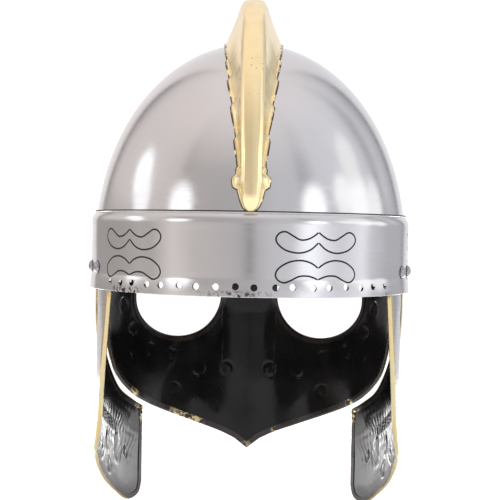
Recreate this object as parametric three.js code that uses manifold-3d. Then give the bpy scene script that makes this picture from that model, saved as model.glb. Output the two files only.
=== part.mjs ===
// A crested helmet with a face mask, in millimetres.
//
// The skull is one raised steel bowl, oval in plan. A steel brow band wraps its lower edge, with a rolled
// shoulder at the top and a flared, pierced lip at the bottom. A brass crest arches over the skull from
// brow to nape. A steel face mask with two eye openings and two steel cheek plates hang inside the band
// on rivets, and their free edges are bound in folded brass strip.
//
// Frame: +Z up, the face looks along -Y and the nape along +Y. The origin is the inside top of the skull,
// the point that rests on a head. Heights below are measured from the plane of the rim, and the exported
// group is lowered so that the origin comes out at the inside top of the skull.

import * as THREE from "three";
import { mergeVertices } from "three/addons/utils/BufferGeometryUtils.js";
import Module from "manifold-3d";

const wasm = await Module();
wasm.setup();

// ---- Driving dimensions ----------------------------------------------------------------------------

const SHEET = 1.2; // thickness of the skull, mask and cheek plates
const BAND_SHEET = 1.5; // thickness of the brow band
const FIT = 0.45; // gap between plates that lie on each other

const HALF_WIDTH = 105.2; // skull outside, ear to ear, at its widest
const LENGTH_RATIO = 1.126; // length of the oval over its width
const HALF_LENGTH = HALF_WIDTH * LENGTH_RATIO;
const WIDEST = 25; // height at which the bowl starts to close in
const SKULL_TOP = 166; // outside top of the skull
const BOWL_POWER = 2.1; // 2 is an ellipsoid, more is fuller at the temples
const SKULL_EDGE = 9.5; // lower edge of the skull, hidden behind the band

const BAND_HEIGHT = 50;
const BAND_BEAD = 0.5; // how far the rolled bead stands out of the band
const LIP_HEIGHT = 10.5; // height of the pierced lip
const LIP_FLARE = 1.1; // how far the lip flares out at the rim

const MAIL_HOLES = 18; // holes for a mail neck guard
const MAIL_HOLE_RADIUS = 2.1;
const MAIL_HOLE_PITCH = 6.2; // degrees round the nape
const MAIL_HOLE_MIDDLE = 178.6; // the row was marked a little off the middle of the nape
const MAIL_HOLE_HEIGHT = 6;

const RIVET_HEIGHT = 14; // height of the rivet row
const RIVET_HEAD = 3.8; // radius of the domed head
const RIVET_SHANK = 1.7;
const RIVET_CROWN = 2.4; // height of the domed head
const RIVET_FOOT = 3; // radius of the peened end inside
const RIVET_PLAY = 0.3; // gap under the head and the peened end
const CHEEK_RIVETS = [102.2, 113.4]; // degrees from the face, on each side
const MASK_RIVETS = [5.5, 61, 74];

const PLATE_TOP = 22; // top of the mask's and cheek plates' tabs
const EYE_CENTRE = 53.3; // eye opening, seen from the front
const EYE_RADIUS = 32.2;
const EYE_HEIGHT = -11.6;

const NOSE_LIFT = 5; // how far the nose of the mask is raised off the oval
const NOSE_HALF = 13.5; // degrees from the middle of the face to its foot
const NOSE_START = -3; // height where it begins, and where it is full
const NOSE_FULL = -26;
const NOSE_COLUMNS = [-13.5, -9, -3, 3, 9, 13.5]; // extra columns of the mask's mesh there
const NOSE_ROWS = [0.3, 0.6, 0.72, 0.84]; // rows of the mask's mesh, as shares of its height

const BINDING_WIDTH = 3.3; // brass binding, how far it laps over the plate
const BINDING_STRIP = 0.7; // thickness of its strip
const BINDING_SLACK = 0.45; // air between the strip and the plate
const BINDING_TOP = -1; // the binding stops just under the rim

const CREST_SHEET = 1.4;
const CREST_GAP = 0.35;
const CREST_SINK = 3; // how far the uncut body reaches into the skull
const CREST_END = 80.3; // degrees from the top to each tip
const CREST_HOLLOW_END = 71.4; // the ends past this are solid

// Outlines on the oval wall under the rim: degrees from the middle of the face, height.
const MASK_LOWER = [
  [0, -131.5],
  [5, -124],
  [12, -117.4],
  [23, -109.3],
  [34, -101.4],
  [45, -93],
  [53, -85.8],
  [59, -78.8],
  [65, -70.2],
  [70.4, -60],
  [75.2, -44],
  [78.6, -20],
  [80, 0],
];
const CHEEK_FRONT = 50.8; // the upright front edge
const CHEEK_UPPER = [
  [CHEEK_FRONT, -94],
  [57.4, -87.2],
  [66, -77.6],
  [73.6, -63.4],
  [81, -47],
  [88, -33],
  [94.5, -15],
  [98.4, 0],
];
const CHEEK_LOWER = [
  [CHEEK_FRONT, -150],
  [52.2, -157.5],
  [55.7, -160.6],
  [60, -159.2],
  [67, -151],
  [76.4, -139.6],
  [86, -126],
  [95, -114.4],
  [101.5, -107.6],
  [106.2, -99.5],
  [109.4, -89.5],
  [111.2, -80],
  [113, -64],
  [116.6, -34],
  [119.4, -6],
  [119.6, 0],
];

// Crest: degrees from the top, half width of the base, half width of the ridge, height of the ridge.
const CREST_STATIONS = [
  [0, 19.3, 7.2, 30],
  [12, 19, 7, 29.3],
  [24, 18, 6.6, 27.2],
  [34, 16.7, 6, 24],
  [43, 15, 5.6, 21],
  [52, 12.8, 5.2, 17.6],
  [60, 10.6, 4.7, 14.4],
  [67, 9.2, 4.3, 11.8],
  [71.4, 8.7, 4.1, 10.4],
  [73.2, 11, 4.1, 9.9],
  [75, 10.4, 4.1, 9.4],
  [76.2, 8.2, 4, 9],
  [79, 6.6, 3.7, 7.8],
  [CREST_END, 3.6, 2.6, 4.6],
];

const MASK_POINTS = 17; // points along each smoothed outline
const CHEEK_UPPER_POINTS = 13;
const CHEEK_LOWER_POINTS = 24;
const EYE_POINTS = 12;
const ROUND_SIDES = 8; // sides of the rivets and the drilled holes
const DRILL_REACH = 10;
const BOWL_SEGMENTS = 48;
const BOWL_ROWS = 11;
const CREST_STEP = 6; // degrees between stations over the crown

const rad = THREE.MathUtils.degToRad;

// ---- Materials -------------------------------------------------------------------------------------

const steel = new THREE.MeshStandardMaterial({ color: 0xb9bbc0, roughness: 0.28, metalness: 1 });
const brass = new THREE.MeshStandardMaterial({ color: 0xd6bd7c, roughness: 0.25, metalness: 1 });
const plate = new THREE.MeshStandardMaterial({ color: 0xaeb0b4, roughness: 0.32, metalness: 1 });

// ---- Solids ----------------------------------------------------------------------------------------

// A three.js geometry as a solid: shared vertices are merged and collapsed triangles dropped.
function toSolid(geometry) {
  const bare = new THREE.BufferGeometry();
  bare.setAttribute("position", geometry.getAttribute("position"));
  if (geometry.index) bare.setIndex(geometry.index);
  const merged = mergeVertices(bare, 1e-4);
  const corners = merged.index.array;
  const kept = [];
  for (let i = 0; i < corners.length; i += 3) {
    const [a, b, c] = [corners[i], corners[i + 1], corners[i + 2]];
    if (a !== b && b !== c && c !== a) kept.push(a, b, c);
  }
  return new wasm.Manifold(
    new wasm.Mesh({
      numProp: 3,
      vertProperties: merged.getAttribute("position").array,
      triVerts: new Uint32Array(kept),
    }),
  );
}

function toGeometry(solid) {
  const mesh = solid.getMesh();
  const geometry = new THREE.BufferGeometry();
  geometry.setAttribute("position", new THREE.BufferAttribute(mesh.vertProperties, 3));
  geometry.setIndex(new THREE.BufferAttribute(mesh.triVerts, 1));
  geometry.computeVertexNormals();
  return geometry;
}

// A closed body through a row of sections with the same number of corners. A ring of sections closes on
// itself; otherwise the first and last sections are capped with the triangles of the flat outline.
function loft(sections, { ring = false, outline = null } = {}) {
  const corners = sections[0].length;
  const position = sections.flat().flatMap((p) => [p.x, p.y, p.z]);
  const index = [];
  const spans = ring ? sections.length : sections.length - 1;
  for (let i = 0; i < spans; i++) {
    const here = i * corners;
    const next = ((i + 1) % sections.length) * corners;
    for (let j = 0; j < corners; j++) {
      const k = (j + 1) % corners;
      index.push(here + j, next + j, next + k, here + j, next + k, here + k);
    }
  }
  if (!ring) {
    const last = (sections.length - 1) * corners;
    const clockwise = THREE.ShapeUtils.isClockWise(outline);
    for (const face of THREE.ShapeUtils.triangulateShape(outline, [])) {
      const [a, b, c] = clockwise ? face.reverse() : face;
      index.push(a, b, c, last + a, last + c, last + b);
    }
  }
  const geometry = new THREE.BufferGeometry();
  geometry.setAttribute("position", new THREE.Float32BufferAttribute(position, 3));
  geometry.setIndex(index);
  const solid = toSolid(geometry);
  if (solid.volume() > 0) return solid;
  // The sections ran the other way round: turn every triangle over.
  for (let i = 0; i < index.length; i += 3) [index[i + 1], index[i + 2]] = [index[i + 2], index[i + 1]];
  geometry.setIndex(index);
  return toSolid(geometry);
}

function part(name, solid, material) {
  const mesh = new THREE.Mesh(toGeometry(solid), material);
  mesh.name = name;
  return mesh;
}

// ---- The oval wall ---------------------------------------------------------------------------------

// A point on the oval, so many degrees from the middle of the face, standing `out` off the skull's
// widest outline.
function onOval(degrees, height, out) {
  const a = rad(degrees);
  return new THREE.Vector3(
    (HALF_WIDTH + out) * Math.sin(a),
    -(HALF_LENGTH + out) * Math.cos(a),
    height,
  );
}

// Outward direction of the oval at that angle.
function ovalNormal(degrees) {
  const a = rad(degrees);
  return new THREE.Vector3(HALF_LENGTH * Math.sin(a), -HALF_WIDTH * Math.cos(a), 0).normalize();
}

// Millimetres of wall in one degree.
function ovalScale(degrees) {
  const a = rad(degrees);
  return rad(1) * Math.hypot(HALF_WIDTH * Math.cos(a), HALF_LENGTH * Math.sin(a));
}

// How far the mask stands off the oval at its nose: a smooth keel that grows from the rim down.
function noseLift(degrees, height) {
  const across = Math.max(0, 1 - Math.abs(degrees) / NOSE_HALF);
  const down = THREE.MathUtils.smoothstep(-height, -NOSE_START, -NOSE_FULL);
  return NOSE_LIFT * across * down;
}

const PLATE_OUT = -SHEET - FIT; // outer face of the mask and cheek plates
const PLATE_IN = PLATE_OUT - SHEET;
const BAND_OUT = FIT + BAND_SHEET;

// ---- Skull -----------------------------------------------------------------------------------------

// How much narrower the bowl is at this height: 1 at its widest, 0 at the top.
function bowlShare(height, top) {
  const t = Math.max(0, (height - WIDEST) / (top - WIDEST));
  return Math.sqrt(Math.max(0, 1 - t ** BOWL_POWER));
}

// The bowl as one solid, standing `out` off the skull's outside, down to a flat bottom.
function bowl(out, bottom) {
  const top = SKULL_TOP + out;
  const profile = [
    [0, bottom],
    [1, bottom],
    [1, WIDEST],
  ];
  for (let i = 1; i < BOWL_ROWS; i++) {
    const turn = (Math.PI / 2) * (i / BOWL_ROWS);
    profile.push([Math.cos(turn), WIDEST + Math.sin(turn) ** (2 / BOWL_POWER) * (top - WIDEST)]);
  }
  profile.push([0, top]);
  const geometry = new THREE.LatheGeometry(
    profile.map(([r, y]) => new THREE.Vector2(r, y)),
    BOWL_SEGMENTS,
  );
  geometry.rotateX(Math.PI / 2);
  geometry.scale(HALF_WIDTH + out, HALF_LENGTH + out, 1);
  return toSolid(geometry);
}

function skull() {
  return bowl(0, SKULL_EDGE).subtract(bowl(-SHEET, SKULL_EDGE - 5));
}

// ---- Brow band -------------------------------------------------------------------------------------

// Outer profile from the rim up: [height, how far out of the skull's widest outline].
const skullInset = HALF_WIDTH * (1 - bowlShare(BAND_HEIGHT, SKULL_TOP));
const BAND_PROFILE = [
  [0, BAND_OUT + LIP_FLARE],
  [LIP_HEIGHT, BAND_OUT],
  [39, BAND_OUT],
  [40.5, BAND_OUT + BAND_BEAD],
  [43.5, BAND_OUT + BAND_BEAD],
  [47, BAND_OUT - 0.3],
  [BAND_HEIGHT, BAND_OUT - skullInset],
];

function browBand() {
  const section = (degrees) => [
    ...BAND_PROFILE.map(([height, out]) => onOval(degrees, height, out)),
    ...[...BAND_PROFILE].reverse().map(([height, out]) => onOval(degrees, height, out - BAND_SHEET)),
  ];
  const sections = [];
  for (let i = 0; i < BOWL_SEGMENTS; i++) sections.push(section((360 * i) / BOWL_SEGMENTS));
  return loft(sections, { ring: true });
}

// ---- Holes and rivets ------------------------------------------------------------------------------

// Turns a shape that stands along Y so that it points out of the wall, and puts it there.
function placeOnWall(geometry, degrees, height) {
  const up = new THREE.Vector3(0, 1, 0);
  geometry.applyQuaternion(new THREE.Quaternion().setFromUnitVectors(up, ovalNormal(degrees)));
  const seat = onOval(degrees, height, 0);
  geometry.translate(seat.x, seat.y, seat.z);
  return toSolid(geometry);
}

// A cutter for a round hole through the wall.
function drill(degrees, height, radius) {
  const geometry = new THREE.CylinderGeometry(radius, radius, 2 * DRILL_REACH, ROUND_SIDES);
  return placeOnWall(geometry, degrees, height);
}

function mailHoles() {
  const angles = [];
  for (let i = 0; i < MAIL_HOLES; i++) {
    angles.push(MAIL_HOLE_MIDDLE + (i - (MAIL_HOLES - 1) / 2) * MAIL_HOLE_PITCH);
  }
  return angles;
}

const bothSides = (angles) => angles.flatMap((a) => [a, -a]);

// Cuts the rivet holes of these angles through a plate.
function pierce(solid, angles) {
  return angles.reduce(
    (body, a) => body.subtract(drill(a, RIVET_HEIGHT, RIVET_SHANK + FIT)),
    solid,
  );
}

// Domed head outside the band, shank through every plate, and a flat peened end inside.
function rivet(degrees) {
  const head = BAND_OUT + RIVET_PLAY;
  const foot = PLATE_IN - RIVET_PLAY;
  const profile = [
    [0, foot - 1],
    [RIVET_FOOT - 0.2, foot - 1],
    [RIVET_FOOT, foot],
    [RIVET_SHANK, foot],
    [RIVET_SHANK, head],
    [RIVET_HEAD, head],
    [RIVET_HEAD * 0.84, head + RIVET_CROWN * 0.58],
    [RIVET_HEAD * 0.45, head + RIVET_CROWN * 0.92],
    [0, head + RIVET_CROWN],
  ].map(([r, y]) => new THREE.Vector2(r, y));
  return placeOnWall(new THREE.LatheGeometry(profile, ROUND_SIDES), degrees, RIVET_HEIGHT);
}

// ---- Plates under the rim --------------------------------------------------------------------------

// A smooth line through outline points.
function smooth(points, count) {
  return new THREE.SplineCurve(points.map(([a, z]) => new THREE.Vector2(a, z)))
    .getPoints(count)
    .map((p) => [p.x, p.y]);
}

// Height of a line of [degrees, height] points at one angle.
function heightAt(line, degrees) {
  const i = line.findIndex(([a]) => a >= degrees);
  if (i <= 0) return i === 0 ? line[0][1] : line[line.length - 1][1];
  const [[a0, z0], [a1, z1]] = [line[i - 1], line[i]];
  return z0 + ((z1 - z0) * (degrees - a0)) / (a1 - a0);
}

// The curved sheet between a lower and an upper line, with rows between them where it is not straight.
function sheetBetween(lower, upper, rows = []) {
  const stops = [...lower, ...upper, ...rows.flatMap(() => NOSE_COLUMNS.map((a) => [a, 0]))]
    .map(([a]) => a)
    .sort((p, q) => p - q);
  const angles = stops.filter((a, i) => i === 0 || a - stops[i - 1] > 1e-3);
  const sections = angles.map((a) => {
    const [low, high] = [heightAt(lower, a), heightAt(upper, a)];
    const heights = [low, ...rows.map((share) => low + (high - low) * share), high];
    const face = (out) => heights.map((z) => onOval(a, z, out + noseLift(a, z)));
    return [...face(PLATE_OUT), ...face(PLATE_IN).reverse()];
  });
  const count = rows.length + 2;
  const outline = [];
  for (let i = 0; i < count; i++) outline.push(new THREE.Vector2(0, i));
  for (let i = count - 1; i >= 0; i--) outline.push(new THREE.Vector2(1, i));
  return loft(sections, { outline });
}

const mirrored = (line) => [...line].reverse().map(([a, z]) => [-a, z]);

const maskLower = smooth(MASK_LOWER.slice(1), MASK_POINTS);
const maskEdge = [...mirrored(maskLower), MASK_LOWER[0], ...maskLower];

// The round lower half of an eye opening, from its inner to its outer side.
function eyeEdge() {
  const edge = [];
  for (let i = 0; i <= EYE_POINTS; i++) {
    const turn = Math.PI * (i / EYE_POINTS);
    const x = EYE_CENTRE - EYE_RADIUS * Math.cos(turn);
    const z = EYE_HEIGHT - EYE_RADIUS * Math.sin(turn);
    edge.push([THREE.MathUtils.radToDeg(Math.asin(x / (HALF_WIDTH + PLATE_OUT))), z]);
  }
  return edge;
}

function faceMask() {
  const eye = eyeEdge();
  const [inner, outer] = [eye[0][0], eye[eye.length - 1][0]];
  const brow = [
    [inner - 0.15, PLATE_TOP],
    ...eye,
    [outer + 0.15, PLATE_TOP],
    [MASK_LOWER[MASK_LOWER.length - 1][0] + 0.2, PLATE_TOP],
  ];
  return sheetBetween(maskEdge, [...mirrored(brow), ...brow], NOSE_ROWS);
}

const cheekUpper = smooth(CHEEK_UPPER, CHEEK_UPPER_POINTS);
const cheekLower = smooth(CHEEK_LOWER, CHEEK_LOWER_POINTS);
const cheekTab = [cheekUpper[cheekUpper.length - 1][0] + 0.15, PLATE_TOP];

// side is 1 for the plate on +X and -1 for the other.
function cheekPlate(side) {
  const end = [cheekLower[cheekLower.length - 1][0] + 0.2, PLATE_TOP];
  const upper = [...cheekUpper, cheekTab, end];
  if (side > 0) return sheetBetween(cheekLower, upper);
  return sheetBetween(mirrored(cheekLower), mirrored(upper));
}

// ---- Brass bindings --------------------------------------------------------------------------------

// A folded strip round the edge of a plate. `line` runs along the edge with the plate on its left, seen
// from outside the helmet. Corners are mitred.
function binding(line) {
  const inside = SHEET / 2 + BINDING_SLACK;
  const outside = inside + BINDING_STRIP;
  const nose = BINDING_SLACK + BINDING_STRIP;
  const profile = [
    [-BINDING_WIDTH, outside],
    [nose, outside],
    [nose, -outside],
    [-BINDING_WIDTH, -outside],
    [-BINDING_WIDTH, -inside],
    [BINDING_SLACK, -inside],
    [BINDING_SLACK, inside],
    [-BINDING_WIDTH, inside],
  ].map(([off, out]) => new THREE.Vector2(off, out));
  const middle = (PLATE_OUT + PLATE_IN) / 2;
  const direction = (i) => {
    const [[a0, z0], [a1, z1]] = [line[i], line[i + 1]];
    return new THREE.Vector2((a1 - a0) * ovalScale((a0 + a1) / 2), z1 - z0).normalize();
  };
  const sections = line.map(([a, z], i) => {
    const before = direction(Math.max(0, i - 1));
    const after = direction(Math.min(line.length - 2, i));
    const along = before.clone().add(after).normalize();
    const mitre = 1 / Math.max(0.5, along.dot(after));
    const away = new THREE.Vector2(along.y, -along.x).multiplyScalar(mitre);
    return profile.map((p) => {
      const degrees = a + (away.x * p.x) / ovalScale(a);
      const height = z + away.y * p.x;
      return onOval(degrees, height, middle + p.y + noseLift(degrees, height));
    });
  });
  return loft(sections, { outline: profile });
}

// The stretch of a line that lies under the rim, cut off level at the binding's top.
function underRim(line) {
  const kept = line.filter(([, z]) => z < BINDING_TOP - 0.5);
  const level = (from, to) => {
    const share = (BINDING_TOP - from[1]) / (to[1] - from[1]);
    return [from[0] + share * (to[0] - from[0]), BINDING_TOP];
  };
  const first = line.indexOf(kept[0]);
  const last = line.indexOf(kept[kept.length - 1]);
  if (first > 0) kept.unshift(level(line[first], line[first - 1]));
  if (last < line.length - 1) kept.push(level(line[last], line[last + 1]));
  return kept;
}

function maskBinding() {
  return binding(underRim(maskEdge));
}

// The eye binding runs down one side, round the bottom and up the other, with the plate outside it.
function eyeBinding(side) {
  const eye = eyeEdge();
  const line = [[eye[0][0], BINDING_TOP], ...eye, [eye[eye.length - 1][0], BINDING_TOP]];
  return binding(side > 0 ? line.reverse() : line.map(([a, z]) => [-a, z]));
}

function cheekBinding(side) {
  const around = [...[...underRim(cheekUpper)].reverse(), ...underRim(cheekLower)];
  return binding(side > 0 ? around : mirrored(around));
}

// ---- Crest -----------------------------------------------------------------------------------------

// Point and outward normal of the skull's middle line, so many degrees from the top towards the nape.
function crown(degrees) {
  const at = (d) => {
    const share = Math.abs(Math.cos(rad(d))) ** (2 / BOWL_POWER);
    return new THREE.Vector3(
      0,
      HALF_LENGTH * Math.sin(rad(d)),
      WIDEST + share * (SKULL_TOP - WIDEST),
    );
  };
  const tangent = at(degrees + 0.5).sub(at(degrees - 0.5)).normalize();
  return { point: at(degrees), normal: new THREE.Vector3(0, -tangent.z, tangent.y) };
}

// How far the skull lies below its middle line, `across` to the side.
function skullDrop({ point, normal }, across) {
  const outside = (drop) => {
    const p = point.clone().addScaledVector(normal, -drop);
    const t = Math.max(0, (p.z - WIDEST) / (SKULL_TOP - WIDEST));
    return (across / HALF_WIDTH) ** 2 + (p.y / HALF_LENGTH) ** 2 + t ** BOWL_POWER > 1;
  };
  let [low, high] = [0, 20];
  for (let i = 0; i < 24; i++) {
    const middle = (low + high) / 2;
    if (outside(middle)) low = middle;
    else high = middle;
  }
  return high;
}

// Values of a crest station at any angle, between the listed ones.
function crestAt(degrees) {
  const d = Math.abs(degrees);
  const i = Math.max(1, CREST_STATIONS.findIndex(([at]) => at >= d - 1e-6));
  const [from, to] = [CREST_STATIONS[i - 1], CREST_STATIONS[i]];
  const share = (d - from[0]) / (to[0] - from[0]);
  return [1, 2, 3].map((k) => THREE.MathUtils.lerp(from[k], to[k], share));
}

// Half of the crest's section, from the foot to the ridge: [across, up].
function crestHalf(foot, ridge, height) {
  return [
    [foot, 0],
    [foot, 0.9],
    [ridge + (foot - ridge) * 0.6, height * 0.24],
    [ridge + (foot - ridge) * 0.32, height * 0.5],
    [ridge * 1.08, height * 0.8],
    [ridge * 0.76, height * 0.94],
    [ridge * 0.3, height],
  ];
}

// The crest filled solid, out to `end` degrees and `inset` inside its own surface. Its base reaches
// into the skull.
function crestBody(end, inset) {
  const listed = CREST_STATIONS.map(([at]) => at);
  const regular = [];
  for (let d = 0; d < end; d += CREST_STEP) regular.push(d);
  const half = [...new Set([...regular, ...listed.filter((d) => d > 55 && d < end), end])];
  half.sort((p, q) => p - q);
  const angles = [...half.slice(1).reverse().map((d) => -d), ...half];
  let outline = null;
  const sections = angles.map((d) => {
    const place = crown(d);
    const [foot, ridge, height] = crestAt(d);
    const side = crestHalf(foot - inset * 1.6, Math.max(0.6, ridge - inset), height - inset);
    const line = [...side, ...[...side].reverse().map(([x, up]) => [-x, up])];
    outline = line.map(([x, up]) => new THREE.Vector2(x, up));
    return line.map(([x, up]) => {
      let lift = up;
      if (up < 1) lift = up - skullDrop(place, x) + (up === 0 ? -CREST_SINK : CREST_GAP);
      return place.point.clone().addScaledVector(place.normal, lift).setX(x);
    });
  });
  return loft(sections, { outline });
}

function crest() {
  return crestBody(CREST_END, 0)
    .subtract(crestBody(CREST_HOLLOW_END, CREST_SHEET))
    .subtract(bowl(CREST_GAP, 0));
}

// ---- Assembly --------------------------------------------------------------------------------------

const helmet = new THREE.Group();

helmet.add(part("skull", pierce(skull(), bothSides([...CHEEK_RIVETS, ...MASK_RIVETS])), steel));

const band = mailHoles().reduce(
  (body, a) => body.subtract(drill(a, MAIL_HOLE_HEIGHT, MAIL_HOLE_RADIUS)),
  pierce(browBand(), bothSides([...CHEEK_RIVETS, ...MASK_RIVETS])),
);
helmet.add(part("brow_band", band, steel));

helmet.add(part("crest", crest(), brass));
helmet.add(part("face_mask", pierce(faceMask(), bothSides(MASK_RIVETS)), plate));
helmet.add(part("mask_binding", maskBinding(), brass));

for (const [name, side] of [
  ["left", 1],
  ["right", -1],
]) {
  helmet.add(part(`eye_binding_${name}`, eyeBinding(side), brass));
  const cheek = pierce(cheekPlate(side), CHEEK_RIVETS.map((a) => side * a));
  helmet.add(part(`cheek_plate_${name}`, cheek, plate));
  helmet.add(part(`cheek_binding_${name}`, cheekBinding(side), brass));
  CHEEK_RIVETS.forEach((a, i) => {
    helmet.add(part(`cheek_rivet_${name}_${i + 1}`, rivet(side * a), steel));
  });
  MASK_RIVETS.forEach((a, i) => {
    helmet.add(part(`mask_rivet_${name}_${i + 1}`, rivet(side * a), steel));
  });
}

helmet.position.z = -(SKULL_TOP - SHEET);

export default helmet;
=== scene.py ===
# %% [markdown]
# # A crested helmet with a face mask
#
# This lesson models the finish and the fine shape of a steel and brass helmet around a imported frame.
# The frame already holds every piece at its real size and place. Each cell below takes one piece of the
# helmet, says what it is on the real object, and models it with the tools that a person would use by
# hand: a primitive, edit mode, and modifiers that are applied.
#
# Everything is in metres. +Z is up, the face looks along -Y and the nape along +Y. The origin is the
# inside top of the skull.

# %% Load the frame
import math

import bpy
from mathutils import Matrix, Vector


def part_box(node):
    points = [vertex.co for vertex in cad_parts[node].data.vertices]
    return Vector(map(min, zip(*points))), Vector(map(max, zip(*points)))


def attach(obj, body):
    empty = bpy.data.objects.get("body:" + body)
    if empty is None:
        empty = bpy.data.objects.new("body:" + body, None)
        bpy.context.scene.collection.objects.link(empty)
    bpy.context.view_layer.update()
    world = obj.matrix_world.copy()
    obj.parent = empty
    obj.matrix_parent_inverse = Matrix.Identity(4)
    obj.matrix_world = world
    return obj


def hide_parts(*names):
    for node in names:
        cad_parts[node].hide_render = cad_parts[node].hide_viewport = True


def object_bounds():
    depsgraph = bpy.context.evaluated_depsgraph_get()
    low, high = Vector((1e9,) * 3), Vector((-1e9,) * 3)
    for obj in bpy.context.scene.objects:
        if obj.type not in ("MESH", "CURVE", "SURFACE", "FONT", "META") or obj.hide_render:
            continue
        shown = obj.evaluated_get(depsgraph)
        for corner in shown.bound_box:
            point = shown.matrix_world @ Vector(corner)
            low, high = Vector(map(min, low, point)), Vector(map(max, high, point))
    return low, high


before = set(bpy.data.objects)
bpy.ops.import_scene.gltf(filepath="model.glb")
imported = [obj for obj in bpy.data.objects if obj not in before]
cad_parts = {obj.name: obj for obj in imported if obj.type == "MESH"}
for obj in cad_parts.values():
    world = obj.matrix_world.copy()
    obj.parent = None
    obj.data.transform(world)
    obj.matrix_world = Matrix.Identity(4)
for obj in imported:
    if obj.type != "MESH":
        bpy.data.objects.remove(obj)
cad_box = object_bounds()
corners = [tuple(round(v, 4) for v in corner) for corner in cad_box]
print("frame:", len(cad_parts), "nodes, box", corners)

# %% [markdown]
# ## Driving dimensions
#
# Sizes that the frame knows are read from it, so that this script follows the frame. The rest are the
# sheet thicknesses and the small sizes of a maker's work, such as the width of a binding. Lengths that
# are easier to read in millimetres are written as a number times MM.

# %% Driving dimensions
MM = 0.001
skull_low, skull_high = (Vector(corner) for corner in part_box("skull"))
band_low, band_high = (Vector(corner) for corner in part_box("brow_band"))

RIM = band_low.z  # height of the rim, the band's lower edge
HALF_WIDTH = skull_high.x  # the skull's outline at its widest
HALF_LENGTH = skull_high.y
SKULL_TOP = skull_high.z
SKULL_EDGE = skull_low.z
WIDEST = RIM + 25 * MM  # the bowl starts to close in here
BOWL_POWER = 2.1  # 2 is an ellipsoid, more is fuller at the temples

SHEET = 1.2 * MM  # skull, mask and cheek plates
BAND_SHEET = 1.5 * MM
FIT = 0.45 * MM  # air between plates that lie on each other
PLATE_OUT = -SHEET - FIT  # outer face of the mask and cheek plates, from the skull's outline
PLATE_IN = PLATE_OUT - SHEET
BAND_OUT = FIT + BAND_SHEET
NAPE = 180  # degrees from the middle of the face
print("half width", round(HALF_WIDTH, 4), "half length", round(HALF_LENGTH, 4), "rim", round(RIM, 4))


# %% [markdown]
# ## The oval wall
#
# Seen from above, every piece under the crown follows one oval. A place on it is an angle from the
# middle of the face, a height above the rim, and how far it stands out of the skull's outline. Three
# small functions turn that into a point, so that plates, bindings and rivets all agree.


# %% Places on the oval
def on_oval(degrees, height, out):
    a = math.radians(degrees)
    return Vector(((HALF_WIDTH + out) * math.sin(a), -(HALF_LENGTH + out) * math.cos(a), RIM + height))


def oval_normal(degrees):
    a = math.radians(degrees)
    return Vector((HALF_LENGTH * math.sin(a), -HALF_WIDTH * math.cos(a), 0)).normalized()


def oval_scale(degrees):
    """Metres of wall in one degree."""
    a = math.radians(degrees)
    return math.radians(1) * math.hypot(HALF_WIDTH * math.cos(a), HALF_LENGTH * math.sin(a))


print("wall at the nape", [round(v, 4) for v in on_oval(NAPE, 0, 0)])


# %% [markdown]
# ## Habits for working with operators
#
# An operator acts on whatever is selected, so each piece starts with nothing selected. A finished piece
# has its place in its mesh, so its transform is applied. Faces are smoothed by angle, which keeps a
# folded edge crisp and a raised sheet round.


# %% Small helpers
def pick(obj):
    """Selects one object and nothing else."""
    bpy.ops.object.select_all(action="DESELECT")
    obj.select_set(True)
    bpy.context.view_layer.objects.active = obj
    return obj


def started(name):
    """Names the primitive that was just added."""
    obj = bpy.context.object
    obj.name = name
    obj.data.name = name
    return obj


def press(obj, kind, **settings):
    """Adds a modifier and applies it."""
    pick(obj)
    modifier = obj.modifiers.new(kind.title(), kind)
    for key, value in settings.items():
        setattr(modifier, key, value)
    bpy.ops.object.modifier_apply(modifier=modifier.name)


def smooth(obj, degrees=35):
    pick(obj)
    bpy.ops.object.shade_smooth_by_angle(angle=math.radians(degrees))


def face_out(obj):
    """Merges doubled corners and turns every face outwards."""
    pick(obj)
    bpy.ops.object.mode_set(mode="EDIT")
    bpy.ops.mesh.select_all(action="SELECT")
    bpy.ops.mesh.remove_doubles(threshold=0.00001)
    bpy.ops.mesh.normals_make_consistent(inside=False)
    bpy.ops.object.mode_set(mode="OBJECT")


def finished(obj, slot, *nodes):
    """Says what the piece stands for and what it rides on; the slot, naming its finish, is not used."""
    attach(obj, "root")
    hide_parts(*nodes)
    print(obj.name, len(obj.data.polygons), "faces, stands for", ", ".join(nodes))


# %% [markdown]
# ## Camera
#
# The helmet is seen from behind, from about 0.8 m away, with the lens level with the top of the brow
# band. The hand-made helmet leans by a degree, so the camera is rolled instead of the helmet.

# %% Camera
CAMERA_DISTANCE = 0.817
CAMERA_HEIGHT = RIM + 40 * MM
LOOK_DOWN = math.radians(0.99)
ROLL = math.radians(1.03)
LENS = 85.6

bpy.ops.object.camera_add(location=(0.0, CAMERA_DISTANCE, CAMERA_HEIGHT))
camera = started("camera")
camera.rotation_mode = "XYZ"
camera.rotation_euler = (math.pi / 2 - LOOK_DOWN, 0, math.pi)
camera.rotation_euler.rotate_axis("Z", ROLL)
camera.data.lens = LENS
camera.data.sensor_width = 36
camera.data.clip_start = 0.01
bpy.context.scene.camera = camera
bpy.context.scene.view_settings.view_transform = "Standard"
print("camera", [round(v, 3) for v in camera.location], "lens", camera.data.lens)

# %% [markdown]
# ## Finishes
#
# The helmet has three finishes: polished steel, polished brass and gloss black paint. Each one is built
# from a few procedural layers on Object coordinates. A polished sheet that was raised by hand is never
# quite even, so a slow noise bends its reflections, a stretched noise gives the polishing lines, and
# small pits and tarnish gather in places. The constants sit directly on the shader's sockets.


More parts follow.
